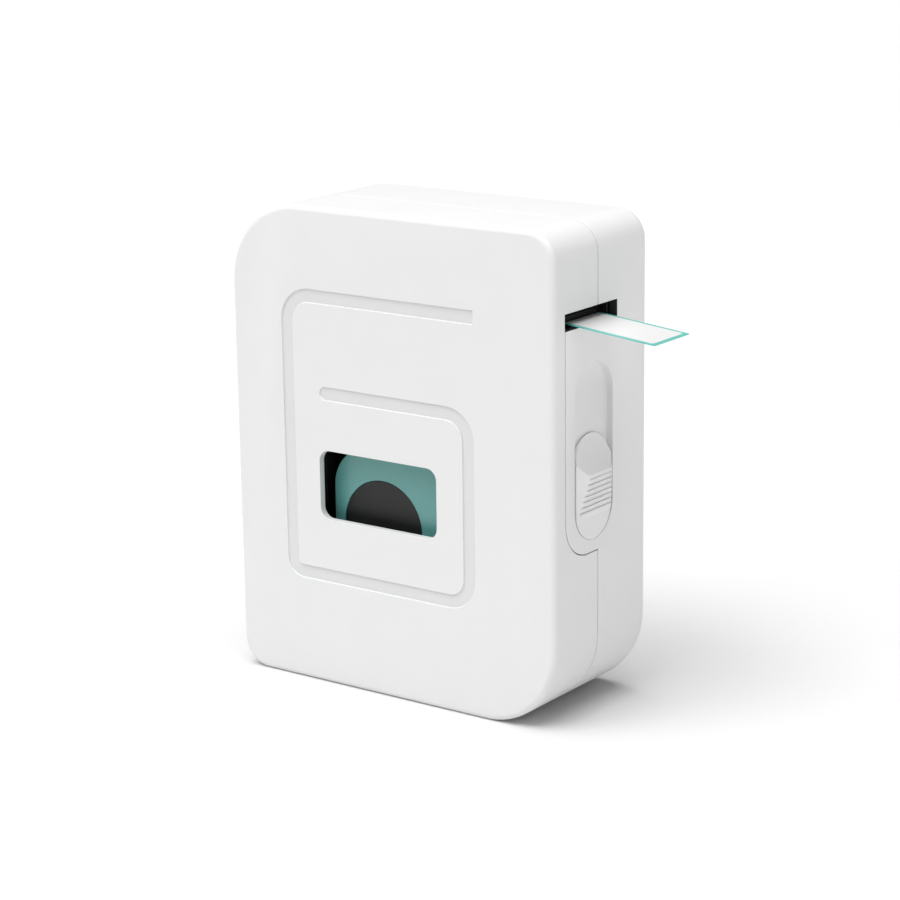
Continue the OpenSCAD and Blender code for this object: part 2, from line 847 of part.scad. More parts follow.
module blade_screws() color(steel) {
    for (y = blade_screw_ys) {
        translate([blade_x - holder_t, y, blade_screw_z]) rotate([0, 90, 0])
            cylinder(r = blade_screw_r, h = holder_t + blade_t);
        translate([blade_x + blade_t, y, blade_screw_z]) rotate([0, 90, 0])
            cylinder(r = blade_screw_head_r, h = blade_screw_head_t);
    }
}

module cutter_spring() color(steel)
    translate([spring_x, track_y, spring_bottom])
        coil(spring_r - spring_wire, spring_wire, carriage_z - spring_bottom, spring_turns);

module cutter_guide() color(steel) {
    y1 = track_y + carriage_w / 2 + guide_side_gap;
    y0 = track_y - carriage_w / 2 - guide_side_gap - guide_rail_w;
    h = guide_high - guide_low;
    translate([guide_plate_x, y0, guide_low]) cube([guide_plate_t, deck_y - y0, h]);
    for (y = [y0, y1])
        translate([guide_plate_x + guide_plate_t - eps, y, guide_low])
            cube([guide_rail_t, guide_rail_w, h]);
}

module cutter_anvil() color(steel) {
    y0 = tape_front_y - anvil_end;
    translate([anvil_x, y0, tape_z + anvil_lift]) cube([anvil_t, deck_y - y0, anvil_h]);
}

// ---------- cassette ----------

module cassette_outline(inset) {
    r = cassette_r - inset;
    x0 = cassette_left + inset;
    x1 = cassette_right - inset;
    z0 = cassette_bottom + inset;
    round_rect(x0, x1, z0, cassette_top - inset,
        [r, r, cassette_foot_r, cassette_shoulder_r - inset]);
    translate([tower_left + inset, cassette_top - inset - eps])
        square([x1 - tower_left - inset, tower_top - cassette_top + eps]);
}

// Open mouths for the tape and the ribbon
module cassette_mouths() {
    mid = spool_x + roll_r + guide_gap;
    y0 = tape_front_y - mouth_gap;
    w = tape_w + 2 * mouth_gap;
    translate([mid - mouth_t / 2, y0, cassette_top - mouth_h / 2]) cube([mouth_t, w, mouth_h]);
    translate([tower_left + cassette_wall, y0, tower_top - mouth_h / 2])
        cube([cassette_right - tower_left - 2 * cassette_wall, w, mouth_h]);
}

module cassette_front() color(teal) {
    difference() {
        along_y(cassette_front_y, cassette_seam) cassette_outline(0);
        along_y(cassette_front_y + cassette_wall, cassette_seam + past) cassette_outline(cassette_wall);
        rod_y(spool_x, spool_z, disc_r + guide_gap, cassette_front_y - past, cassette_front_y + reach);
        cassette_mouths();
    }
}

module cassette_back() color(teal) {
    y_in = deck_y - cassette_wall;
    difference() {
        union() {
            difference() {
                along_y(cassette_seam, deck_y) cassette_outline(0);
                along_y(cassette_seam - past, y_in) cassette_outline(cassette_wall);
            }
            rod_y(spool_x, spool_z, post_r, cassette_front_y + 2 * post_start, y_in + eps);
            rod_y(ribbon_x, ribbon_z, post_r, cassette_front_y + post_start, y_in + eps);
            rod_y(ribbon_x - ribbon_roll_r + ribbon_guide_r, ribbon_guide_z, ribbon_guide_r,
                tape_front_y, y_in + eps);
        }
        rod_y(take_up_pos[0], take_up_pos[1], post_r + mouth_gap, y_in - past, deck_y + past);
        cassette_mouths();
    }
}

module tape_spool() color(dark) {
    difference() {
        union() {
            rod_y(spool_x, spool_z, disc_r, cassette_front_y + 0.2, tape_front_y - 0.1);
            rod_y(spool_x, spool_z, spool_core_r, tape_front_y - 0.1 - eps, tape_back_y);
        }
        rod_y(spool_x, spool_z, post_r + running_gap, cassette_front_y + spool_bush, tape_back_y + past);
    }
}

module tape_roll() color([0.9, 0.92, 0.92])
    tube_y(spool_x, spool_z, roll_r, spool_core_r + press_gap, tape_front_y, tape_back_y);

module tape_web() color(teal) {
    g = guide_r + guide_gap;
    along_y(tape_front_y, tape_back_y) {
        translate([guide_pos[0], tape_z]) square([web_end - guide_pos[0], film]);
        translate(guide_pos) difference() {
            quarter_disc(g + film, -1, 1);
            circle(g);
        }
        translate([guide_pos[0] - g - film, spool_z]) square([film, guide_pos[1] - spool_z]);
    }
}

module tape_guide_roller() color(nylon)
    tube_y(guide_pos[0], guide_pos[1], guide_r, pivot_r + running_gap, tape_front_y, tape_back_y);

module ribbon_spool() color(dark)
    tube_y(ribbon_x, ribbon_z, ribbon_core_r, post_r + running_gap, tape_front_y, tape_back_y);

module ribbon_roll() color([0.1, 0.1, 0.12])
    tube_y(ribbon_x, ribbon_z, ribbon_roll_r, ribbon_core_r + press_gap,
        tape_front_y + ribbon_side, tape_back_y - ribbon_side);

module ribbon_web() color([0.12, 0.12, 0.14]) {
    z_top = tape_z - 0.3;
    x_up = ribbon_x - ribbon_roll_r - ribbon_gap;
    route = [
        [x_up, ribbon_z],
        [x_up, ribbon_guide_z],
        [head_left - 0.6, z_top],
        [head_right + 0.4, z_top],
        [head_right + 1.8, z_top - 1.4],
        [take_up_pos[0] + used_roll_r + ribbon_gap, take_up_pos[1]]
    ];
    along_y(tape_front_y + ribbon_side, tape_back_y - ribbon_side) {
        for (i = [0:len(route) - 2])
            strip(route[i], route[i + 1], ribbon_t);
        for (i = [1:len(route) - 2])
            translate(route[i]) circle(ribbon_t / 2, $fn = 12);
    }
}

module take_up_spool() color(dark)
    tube_y(take_up_pos[0], take_up_pos[1], ribbon_core_r, post_r + press_gap, tape_front_y, tape_back_y);

module used_ribbon() color([0.1, 0.1, 0.12])
    tube_y(take_up_pos[0], take_up_pos[1], used_roll_r, ribbon_core_r + press_gap,
        tape_front_y + ribbon_side, tape_back_y - ribbon_side);

// ---------- label ----------

module label_sheet(width, length, base, t) {
    translate([label_x, tape_mid, tape_z - label_drop - (label_x - web_end) * tan(label_droop)])
        rotate([0, label_droop, 0]) translate([0, -width / 2, base]) cube([length, width, t]);
}

module label_liner() color(teal)
    label_sheet(tape_w, liner_len, 0, liner_t);

module label_strip() color("white")
    label_sheet(tape_w - 2 * liner_margin, liner_len - liner_margin, liner_t, label_t);

// ---------- printing works ----------

platen_phase = 0;
idler_phase = mesh_phase(platen_phase, driven_teeth, idler_teeth, to_idler);
pinion_phase = mesh_phase(idler_phase, idler_teeth, pinion_teeth, to_motor);
lower_phase = mesh_phase(idler_phase, idler_teeth, idler_teeth, to_lower);
take_up_phase = mesh_phase(lower_phase, idler_teeth, driven_teeth, to_take_up);

module platen_rubber() color([0.2, 0.2, 0.2])
    tube_y(platen_x, platen_z, platen_r, shaft_r + press_gap,
        tape_front_y - mouth_gap, tape_back_y + mouth_gap);

module platen_shaft() color(steel)
    rod_y(platen_x, platen_z, shaft_r, bracket_y, motor_plate_y);

module platen_gear() color(nylon)
    gear([platen_x, platen_z], driven_teeth, platen_phase, shaft_r + press_gap);

module platen_bracket() color(steel) {
    x0 = platen_x - bracket_w / 2;
    front_end = bracket_y + bracket_t;
    difference() {
        translate([x0, bracket_y, bracket_low])
            cube([bracket_w, bracket_t, bracket_web + bracket_t - bracket_low]);
        rod_y(platen_x, platen_z, shaft_r + running_gap, bracket_y - past, front_end + past);
    }
    translate([x0, front_end - eps, bracket_web]) cube([bracket_w, deck_y - front_end + eps, bracket_t]);
}

module print_head() color([0.85, 0.84, 0.8])
    translate([head_left, tape_front_y - 0.5, head_top - head_t])
        cube([head_right - head_left, tape_w + 1, head_t]);

module head_heat_sink() color([0.75, 0.76, 0.78]) {
    x = pivot_pos[0];
    z = pivot_pos[1];
    z1 = head_top - head_t;
    difference() {
        union() {
            along_y(tape_front_y, tape_back_y) polygon([
                [head_left, z1], [head_left, z],
                [x + sink_chamfer, z - sink_chamfer], [x + 2.2, head_seat_z],
                [head_spring_x + 1.8, head_seat_z], [head_right, head_sink_z], [head_right, z1]
            ]);
            rod_y(x, z, 2 * pivot_r, tape_front_y, tape_back_y);
        }
        rod_y(x, z, pivot_r + running_gap, tape_front_y - past, tape_back_y + past);
    }
}

module head_pivot_pin() color(steel)
    rod_y(pivot_pos[0], pivot_pos[1], pivot_r, tape_front_y - 0.8, deck_back);

module head_spring() color(steel)
    translate([head_spring_x, tape_mid, spring_shelf_z])
        coil(head_spring_r, head_spring_wire, head_seat_z - spring_shelf_z, head_spring_turns);

module motor_can() color(steel)
    rod_y(motor_pos[0], motor_pos[1], motor_r, motor_plate_y + motor_plate_t, shell_inner - 0.4);

module motor_flange() color(steel) {
    y0 = motor_plate_y;
    y1 = motor_plate_y + motor_plate_t;
    h = motor_ear + ear_end;
    difference() {
        union() {
            rod_y(motor_pos[0], motor_pos[1], motor_r, y0, y1);
            translate([motor_pos[0] - ear_w / 2, y0, motor_pos[1] - h]) cube([ear_w, motor_plate_t, 2 * h]);
        }
        rod_y(motor_pos[0], motor_pos[1], motor_shaft_r + knuckle_clear, y0 - past, y1 + past);
        for (s = [-1, 1])
            rod_y(motor_pos[0], motor_pos[1] + s * motor_ear, small_screw_r + hole_gap,
                y0 - past, y1 + past);
    }
}

module motor_screws() color(steel) {
    y0 = motor_plate_y + motor_plate_t;
    for (s = [-1, 1]) {
        rod_y(motor_pos[0], motor_pos[1] + s * motor_ear, small_screw_head_r, y0, y0 + small_screw_head_t);
        rod_y(motor_pos[0], motor_pos[1] + s * motor_ear, small_screw_r, y0 - small_screw_len, y0);
    }
}

module motor_pinion() color([0.8, 0.68, 0.35]) {
    gear(motor_pos, pinion_teeth, pinion_phase, motor_shaft_r);
    rod_y(motor_pos[0], motor_pos[1], motor_shaft_r + eps, gear_y, gear_y + gear_t + 0.9);
}

module upper_idler() color(nylon)
    gear(idler_pos, idler_teeth, idler_phase, idler_post_r + running_gap);

module lower_idler() color(nylon)
    gear(lower_pos, idler_teeth, lower_phase, idler_post_r + running_gap);

module take_up_spindle() color(nylon) {
    along_y(gear_y, gear_y + gear_t) translate(take_up_pos) gear_outline(driven_teeth, take_up_phase);
    rod_y(take_up_pos[0], take_up_pos[1], post_r, cassette_front_y + post_start, gear_y + eps);
}

// ---------- power ----------

module battery_cell() color([0.3, 0.42, 0.62])
    translate([cell_x, cell_y, cell_z]) cylinder(r = cell_r, h = cell_len);

module battery_cover() color(dark) {
    half = cell_r + cover_gap + cover_wall;
    x0 = cell_x - half;
    y0 = cell_y - half;
    z0 = cell_z - cover_end;
    h = cell_len + 2 * cover_end;
    difference() {
        translate([x0, y0, z0]) cube([2 * half, deck_y - y0, h]);
        translate([x0 + cover_wall, y0 + cover_wall, z0 + cover_wall])
            cube([2 * (half - cover_wall), deck_y - y0, h - 2 * cover_wall]);
    }
}

module battery_contacts() color([0.85, 0.72, 0.4]) {
    for (z = [cell_z - contact_t, cell_z + cell_len])
        translate([cell_x - contact_side, cell_y - contact_side, z])
            cube([contact_w, deck_y - cell_y + contact_side - 0.4, contact_t]);
}

module battery_leads() color([0.7, 0.15, 0.12]) {
    for (z = lead_zs)
        rod_y(lead_x, z, lead_r, deck_y - 2, board_y);
}

module circuit_board() color([0.1, 0.35, 0.2]) {
    difference() {
        translate([board_x0, board_y, board_z0])
            cube([board_x1 - board_x0, board_t, board_z1 - board_z0]);
        for (p = board_screws_at)
            rod_y(p[0], p[1], screw_r + hole_gap, board_y - past, board_y + board_t + past);
    }
}

module board_screws() color(steel) {
    for (p = board_screws_at)
        screw_y(p[0], p[1], board_y, board_screw_len);
}

// A part that sits on the front of the board: its left and lower edges, and its size
module on_board(at, size) {
    translate([at[0], board_y - size[1], at[1]]) cube(size);
}

module processor_chip() color(dark)
    on_board(chip_pos, chip_size);

module radio_module() color(steel)
    on_board(module_pos, module_size);

// Outline of the charging socket in Y and Z
module usb_outline(grow) {
    w = usb_w + 2 * grow;
    t = usb_t + 2 * grow;
    stadium(board_y - usb_t / 2, usb_z - w / 2, usb_z + w / 2, t);
}

module charging_socket() color(steel) {
    x0 = x_left + usb_sink;
    difference() {
        along_x(x0, x0 + usb_len) usb_outline(0);
        along_x(x0 - past, x0 + usb_mouth) usb_outline(-usb_wall);
    }
    translate([x0 + usb_tongue_in, board_y - (usb_t + usb_tongue[1]) / 2, usb_z - usb_tongue[2] / 2])
        cube(usb_tongue);
}

module push_switch() color(steel) {
    translate([board_x0, io_y - switch_size[1], power_z - switch_size[2] / 2])
        cube([switch_size[0], board_y - io_y + switch_size[1], switch_size[2]]);
    translate([board_x0 - switch_tip_t / 2, io_y, power_z]) rotate([0, 90, 0])
        cylinder(r = switch_tip_r, h = switch_tip_t);
}

module power_button() color(shell_white) {
    translate([x_left - power_proud, io_y, power_z]) rotate([0, 90, 0])
        cylinder(r = power_r, h = power_proud + wall + power_gap + eps);
    translate([x_left + wall + power_gap, io_y, power_z]) rotate([0, 90, 0])
        cylinder(r = power_r + power_flange, h = power_flange_t);
}

module light_pipe() color([0.9, 0.95, 1])
    translate([x_left, io_y, led_z]) rotate([0, 90, 0]) cylinder(r = pipe_r, h = pipe_len);

module status_light() color([0.95, 0.95, 0.8])
    translate([x_left + pipe_len + 0.1, io_y - led_size / 2, led_z - led_size / 2])
        cube([led_size, board_y - io_y + led_size / 2, led_size]);

module flex_connector() color([0.9, 0.88, 0.8])
    on_board([board_x1 - connector_size[0] - 1, flex_top - connector_size[2]],
        connector_size - [0, 0, eps]);

module head_flex() color([0.75, 0.5, 0.2]) {
    translate([board_x1 - 1, flex_y, flex_top - flex_w])
        cube([flex_turn + 0.2 - board_x1 + 1, flex_t, flex_w]);
    translate([flex_turn, deck_y - 2, flex_neck_z])
        cube([flex_t, flex_y + flex_t - deck_y + 2, flex_neck]);
}

front_lid();
rear_shell();
hinge_pins();
deck_plate();
deck_screws();
slider_button();
slider_carriage();
blade_holder();
cutter_blade();
blade_screws();
cutter_spring();
cutter_guide();
cutter_anvil();
cassette_front();
cassette_back();
tape_spool();
tape_roll();
tape_web();
tape_guide_roller();
ribbon_spool();
ribbon_roll();
ribbon_web();
take_up_spool();
used_ribbon();
take_up_spindle();
label_strip();
label_liner();
platen_rubber();
platen_shaft();
platen_gear();
platen_bracket();
print_head();
head_heat_sink();
head_pivot_pin();
head_spring();
motor_can();
motor_flange();
motor_screws();
motor_pinion();
upper_idler();
lower_idler();
battery_cell();
battery_cover();
battery_contacts();
battery_leads();
circuit_board();
board_screws();
processor_chip();
radio_module();
charging_socket();
push_switch();
power_button();
light_pipe();
status_light();
flex_connector();
head_flex();
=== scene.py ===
# %% [markdown]
# # A pocket label maker
# The machine is a white two-part case with a window onto its tape cassette, a cutter slider on
# the right and a label coming out of a slot above it. The measured solids come from a packed
# frame; this lesson gives them finishes and rebuilds the ones that need softer, richer shapes.

# %% Load the frame
import bmesh
import bpy
import json
import math
from mathutils import Matrix, Vector

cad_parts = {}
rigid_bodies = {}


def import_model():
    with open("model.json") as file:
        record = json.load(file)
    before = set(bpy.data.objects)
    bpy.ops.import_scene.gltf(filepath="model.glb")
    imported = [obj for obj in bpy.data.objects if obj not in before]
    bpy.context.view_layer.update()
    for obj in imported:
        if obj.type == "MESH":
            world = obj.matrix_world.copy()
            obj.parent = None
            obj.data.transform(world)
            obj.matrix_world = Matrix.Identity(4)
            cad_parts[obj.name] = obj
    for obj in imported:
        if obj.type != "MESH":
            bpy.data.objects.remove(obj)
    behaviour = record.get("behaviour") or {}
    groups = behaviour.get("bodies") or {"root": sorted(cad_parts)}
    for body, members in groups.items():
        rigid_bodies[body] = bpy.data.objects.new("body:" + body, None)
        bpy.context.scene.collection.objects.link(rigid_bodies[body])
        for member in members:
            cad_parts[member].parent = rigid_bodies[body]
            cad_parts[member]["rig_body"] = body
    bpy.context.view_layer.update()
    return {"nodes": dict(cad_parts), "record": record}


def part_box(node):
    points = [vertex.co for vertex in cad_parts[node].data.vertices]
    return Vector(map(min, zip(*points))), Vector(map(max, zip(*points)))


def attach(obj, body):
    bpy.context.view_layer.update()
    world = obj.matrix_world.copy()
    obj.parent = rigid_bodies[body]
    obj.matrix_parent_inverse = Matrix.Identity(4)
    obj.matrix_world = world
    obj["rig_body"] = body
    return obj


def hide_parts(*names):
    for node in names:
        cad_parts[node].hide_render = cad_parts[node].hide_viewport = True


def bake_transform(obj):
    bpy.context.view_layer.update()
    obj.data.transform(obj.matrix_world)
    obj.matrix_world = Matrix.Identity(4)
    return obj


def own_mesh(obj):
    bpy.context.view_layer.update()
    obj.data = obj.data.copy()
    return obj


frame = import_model()
nodes = frame["nodes"]
slot_of = {part["node"]: part["material_slot"] for part in frame["record"]["subparts"]}
MM = 0.001

# %% [markdown]
# ## Camera
# A product picture is taken from a little above, with a long lens so that the box keeps its
# proportions. An empty to look at would do, but a point, a direction and a small roll say the
# same thing in four plain values.

# %% Place the camera
CAMERA_POINT = Vector((0.325467, -0.442179, 0.194257))
AZIMUTH, ELEVATION, ROLL = (math.radians(a) for a in (36.12, 14.61, -0.79))
back = Vector((math.sin(AZIMUTH) * math.cos(ELEVATION), -math.cos(AZIMUTH) * math.cos(ELEVATION),
               math.sin(ELEVATION)))
level = Vector((math.cos(AZIMUTH), math.sin(AZIMUTH), 0))
upright = level.cross(-back)
right = level * math.cos(ROLL) + upright * math.sin(ROLL)
up = upright * math.cos(ROLL) - level * math.sin(ROLL)
lens = bpy.data.cameras.new("camera")
lens.lens, lens.sensor_width, lens.clip_start = 105.28, 36, 0.01
camera = bpy.data.objects.new("camera", lens)
bpy.context.scene.collection.objects.link(camera)
turned = Matrix((right, up, back)).transposed().to_4x4()
camera.matrix_world = Matrix.Translation(CAMERA_POINT) @ turned
bpy.context.scene.camera = camera
print("camera stands", round(CAMERA_POINT.length, 3), "m from the base")

# %% [markdown]
# ## Nodes
# Finishes and the sky are both small node trees. Adding a node always takes the same steps: make
# it, set its choices, then fill or link its sockets. One helper does all of them, so that a tree
# further down reads as a list of its nodes.

# %% A helper that adds a node
def add(tree, kind, settings, sockets):
    """Add a node with its settings; a socket takes a value, or the output it is linked from."""
    made = tree.nodes.new("ShaderNode" + kind)
    for name, value in settings.items():
        setattr(made, name, value)
    for name, value in sockets.items():
        if isinstance(value, bpy.types.NodeSocket):
            tree.links.new(value, made.inputs[name])
        else:
            made.inputs[name].default_value = value
    return made


print("node helper ready")

# %% [markdown]
# ## Studio
# White goods on a white sweep need even light. A broad sun overhead lifts the top. A second
# comes down steeply onto the front, so that the window's upper edge throws a band of shadow on
# the cassette, and a weak third fills the right side. Suns are chosen over area lamps because
# their light doesn't fall off, so no face darkens towards one end.

# %% Lights
def sun(name, towards, strength, spread):
    """A sun that shines from a direction; the more degrees it spreads, the softer its shadow."""
    lamp = bpy.data.lights.new(name, "SUN")
    lamp.energy, lamp.angle = strength, math.radians(spread)
    holder = bpy.data.objects.new(name, lamp)
    bpy.context.scene.collection.objects.link(holder)
    holder.rotation_euler = (-Vector(towards)).to_track_quat("-Z", "Y").to_euler()


sun("overhead", (0, -0.12, 1), 2.9, 60)
sun("front_fill", (-0.3, -0.72, 0.95), 1.23, 45)
sun("side_fill", (1, 0, 0.05), 0.47, 30)
print("three suns")

# %% [markdown]
# ## Sky
# A dome fills every shadow a little. Lit that weakly it would look grey behind the machine, and
# a plane of white card would block the suns. So the sky itself has two strengths: plain white
# where the camera sees it, and the weak one for the light it gives.

# %% Sky
DOME_LIGHT, DOME_SEEN = 0.18, 1.0
world = bpy.data.worlds.new("dome")
world.use_nodes = True
dome = world.node_tree.nodes["Background"]
dome.inputs["Color"].default_value = (1, 1, 1, 1)
seen = add(world.node_tree, "LightPath", {}, {})
strength = add(world.node_tree, "MapRange", {},
               {"Value": seen.outputs["Is Camera Ray"], "To Min": DOME_LIGHT, "To Max": DOME_SEEN})
world.node_tree.links.new(strength.outputs["Result"], dome.inputs["Strength"])
bpy.context.scene.world = world
bpy.context.scene.view_settings.view_transform = "Standard"
print("dome of strength", DOME_LIGHT)

# %% [markdown]
# ## Finishes: how they are made here
# A finish is a small node tree on the Principled shader. Every pattern reads Object coordinates,
# which are metres in the machine's own frame, so one over a pattern's size gives its scale. A
# picture mapped on each piece would do too, but it needs unwrapping and shows its seams.

# %% Start a finish
def linear(code):
    """An sRGB hex colour as the linear values the shader wants."""
    parts = [int(code[i:i + 2], 16) / 255 for i in (1, 3, 5)]
    return (*[c / 12.92 if c <= 0.04045 else ((c + 0.055) / 1.055) ** 2.4 for c in parts], 1)


def surface(name, rough, **sockets):
    """Start a finish: its material, tree, shader and object coordinates."""
    made = bpy.data.materials.new(name)
    made.use_nodes = True
    tree = made.node_tree
    shader = tree.nodes["Principled BSDF"]
    shader.inputs["Roughness"].default_value = rough
    for socket, value in sockets.items():
        shader.inputs[socket.replace("_", " ")].default_value = value
    return made, tree, shader, add(tree, "TexCoord", {}, {}).outputs["Object"]


finishes = {}
print("white is", linear("#FFFFFF"))

# %% [markdown]
# ## Habits of a real surface
# No real surface has one flat colour, one height and one gloss. Three habits repeat, and each
# gets a helper: a slow drift of colour between two near tones, a fine relief that breaks up
# highlights, and a slight change of gloss from place to place. Noise drives most of them, and a
# Mapping node stretches it where the real surface was drawn or brushed along one axis.

# %% Patterns, tone, relief and gloss
def patches(tree, where, size):
    """Noise whose patches are size millimetres across."""
    return add(tree, "TexNoise", {}, {"Vector": where, "Scale": 1 / (size * MM), "Detail": 3.0})


def stretched(tree, where, scale):
    """Coordinates scaled by axis; a small scale draws a pattern out along that axis."""
    return add(tree, "Mapping", {}, {"Vector": where, "Scale": scale}).outputs["Vector"]


MIX_A, MIX_B, MIX_OUT = 6, 7, 2  # the colour sockets of a Mix node


def tone(tree, shader, share, deep, light):
    """Blend two near tones by share into the base colour."""
    blend = add(tree, "Mix", {"data_type": "RGBA"},
                {0: share, MIX_A: linear(deep), MIX_B: linear(light)})
    tree.links.new(blend.outputs[MIX_OUT], shader.inputs["Base Color"])


def relief(tree, shader, height, depth):
    """Raise the surface by depth millimetres where height is 1."""
    bump = add(tree, "Bump", {}, {"Height": height, "Distance": depth * MM, "Strength": 1.0})
    tree.links.new(bump.outputs["Normal"], shader.inputs["Normal"])


def gloss(tree, shader, share, low, high):
    """Let the roughness drift between low and high."""
    drift = add(tree, "MapRange", {}, {"Value": share, "To Min": low, "To Max": high})
    tree.links.new(drift.outputs["Result"], shader.inputs["Roughness"])


print("pattern helpers ready")

# %% [markdown]
# ## Moulded plastics
# The case is injection-moulded ABS from a spark-eroded mould: a satin skin with a grain of about
# 0.1 mm, which gives broad soft highlights and no mirror. The real grain is too fine to show, so
# it is drawn about four times coarser and kept shallow. The groove's floor is ABS too, a touch
# darker than the face round it. The walls of the slot's mouth get a dark grey that is painted
# shade: it stands in for the shadow inside the slot. Nylon parts (gears, carriage) are waxy and
# slightly cloudy, and the cassette is smooth-moulded polystyrene with faint flow marks, so it is
# the glossiest. One table and one loop make them all, because they differ only in numbers.

# %% Plastics
GRAIN = 0.45        # mm, drawn coarse
FLOW = 9.0          # mm, the slow drift of tone across a moulding
# name: deep tone, light tone, roughness low and high, grain depth in mm, index of refraction
MOULDED = {
    "case_white": ("#E4E5E5", "#E9E9E8", 0.40, 0.52, 0.0060, 1.54),
    "slider_white": ("#E8E8E8", "#EDEDEC", 0.36, 0.48, 0.0040, 1.54),
    "groove_floor": ("#DBDCDC", "#E0E0DF", 0.40, 0.50, 0.0030, 1.54),
    "cassette_teal": ("#5F9F9A", "#68A8A3", 0.24, 0.34, 0.0015, 1.59),
    "black_plastic": ("#1F1F20", "#2A2A2B", 0.42, 0.58, 0.0060, 1.54),
    "spool_black": ("#131314", "#19191A", 0.46, 0.58, 0.0050, 1.54),
    # painted shade: a dark grey that stands in for the shadow inside the label slot
    "slot_painted_shade": ("#2A2F2D", "#343A38", 0.50, 0.62, 0.0040, 1.54),
    "nylon": ("#D9D5C6", "#E6E2D5", 0.38, 0.50, 0.0030, 1.53),
}
for name, (deep, light, low, high, depth, ior) in MOULDED.items():
    made, tree, shader, where = surface(name, (low + high) / 2, IOR=ior)
    drift = patches(tree, where, FLOW)
    grain = patches(tree, where, GRAIN)
    tone(tree, shader, drift.outputs[0], deep, light)
    gloss(tree, shader, grain.outputs[0], low, high)
    relief(tree, shader, grain.outputs[0], depth)
    finishes[name] = made

CLOUD_SHARE, CLOUD_DEPTH = 0.08, 0.6   # how much light nylon lets in, and how many mm deep
waxy = finishes["nylon"].node_tree.nodes["Principled BSDF"]
waxy.inputs["Subsurface Weight"].default_value = CLOUD_SHARE
waxy.inputs["Subsurface Scale"].default_value = CLOUD_DEPTH * MM
print(len(MOULDED), "moulded finishes")

# %% [markdown]
# ## Metals
# Sheet parts show the fine lines of rolling, pins and springs are drawn and ground round, and
# the heat sink is anodised aluminium with a satin blast. A noise squeezed along one axis makes
# the lines: it varies quickly across them and hardly at all along them. The Anisotropic socket
# would stretch the highlights as well, but it leaves no lines to see close up.

# %% Metals
LINE_DEPTH = 0.001  # mm
# name: deep tone, light tone, roughness low and high, line width in mm, stretch along x y z
METALS = {
    "steel": ("#A9ABB0", "#C2C4C8", 0.24, 0.38, 0.12, (1, 0.05, 1)),
    "pin_steel": ("#B0B2B6", "#C8CACE", 0.18, 0.30, 0.10, (1, 1, 0.1)),
    "spring_steel": ("#8E9096", "#AAACB2", 0.22, 0.34, 0.10, (1, 1, 0.3)),
    "heat_sink": ("#B6B9BF", "#CACCD1", 0.38, 0.50, 0.20, (1, 1, 1)),
    "brass": ("#B8964C", "#D2B26A", 0.22, 0.36, 0.12, (1, 0.1, 1)),
}
for name, (deep, light, low, high, line, stretch) in METALS.items():
    made, tree, shader, where = surface(name, (low + high) / 2, Metallic=1.0)
    lines = patches(tree, stretched(tree, where, stretch), line)
    tone(tree, shader, lines.outputs[0], deep, light)
    gloss(tree, shader, lines.outputs[0], low, high)
    relief(tree, shader, lines.outputs[0], LINE_DEPTH)
    finishes[name] = made
print(len(METALS), "metals")

# %% [markdown]
# ## Tape, ribbon and label
# The tape is a white coated film on a teal backing; its surface is smooth with a low sheen and a
# faint tooth. The ribbon is an inked film, the cell's wrap a shrunk sleeve, and the red lead has
# an extruded vinyl skin. All are thin smooth skins, so one loop serves them too.

# %% Films
TOOTH = 0.3         # mm, drawn coarse
TOOTH_DEPTH = 0.0015   # mm
# name: deep tone, light tone, roughness low and high, index of refraction
FILMS = {
    "tape_teal": ("#5EB6AC", "#66C0B6", 0.34, 0.42, 1.50),
    "label_white": ("#D8D9D8", "#DDDDDC", 0.42, 0.50, 1.50),
    "ribbon_black": ("#0E0E10", "#151517", 0.20, 0.30, 1.60),
    "cell_wrap": ("#2C598C", "#38679B", 0.26, 0.36, 1.54),
    "lead_red": ("#8F1616", "#A3201C", 0.40, 0.52, 1.50),
}
for name, (deep, light, low, high, ior) in FILMS.items():
    made, tree, shader, where = surface(name, (low + high) / 2, IOR=ior)
    drift, tooth = patches(tree, where, FLOW), patches(tree, where, TOOTH)
    tone(tree, shader, drift.outputs[0], deep, light)
    gloss(tree, shader, tooth.outputs[0], low, high)
    relief(tree, shader, tooth.outputs[0], TOOTH_DEPTH)
    finishes[name] = made
print(len(FILMS), "films")

# %% [markdown]
# ## The wound roll
# Wound on a spool, the tape's edges show as fine rings round the spool. Real rings of geometry
# would cost thousands of faces, and a wave texture draws them for nothing, once a Mapping node
# has moved its middle to the spool. The real layers are 0.15 mm, drawn at 0.5 mm so that they
# show.

# %% Wound tape
def middle(node):
    """The centre of a node's box."""
    low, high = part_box(node)
    return (Vector(low) + Vector(high)) / 2


WAVE_PERIOD = math.tau / 20   # a wave texture repeats this often at scale 1
LAYER = 0.5         # mm, drawn coarse
RING_DEPTH = 0.02   # mm
made, tree, shader, where = surface("tape_wound", 0.5, IOR=1.5)
spool = middle("tape_roll")
centred = add(tree, "Mapping", {"vector_type": "POINT"},
              {"Vector": where, "Location": (-spool.x, 0, -spool.z)}).outputs["Vector"]
rings = add(tree, "TexWave", {"wave_type": "RINGS", "rings_direction": "Y"},
            {"Vector": centred, "Scale": WAVE_PERIOD / (LAYER * MM), "Distortion": 0.4,
             "Detail": 1.0})
tone(tree, shader, rings.outputs["Fac"], "#BFD2CF", "#E2EAE8")
relief(tree, shader, rings.outputs["Fac"], RING_DEPTH)
finishes["tape_wound"] = made
print("rings round", round(spool.x / MM, 2), round(spool.z / MM, 2), "mm")

# %% [markdown]
# ## Platen rubber
# The platen is the soft roller behind the tape: silicone rubber, ground round after moulding.
# Grinding leaves it matt, with fine lines round it, so the noise is drawn out across the axis
# instead of along it.

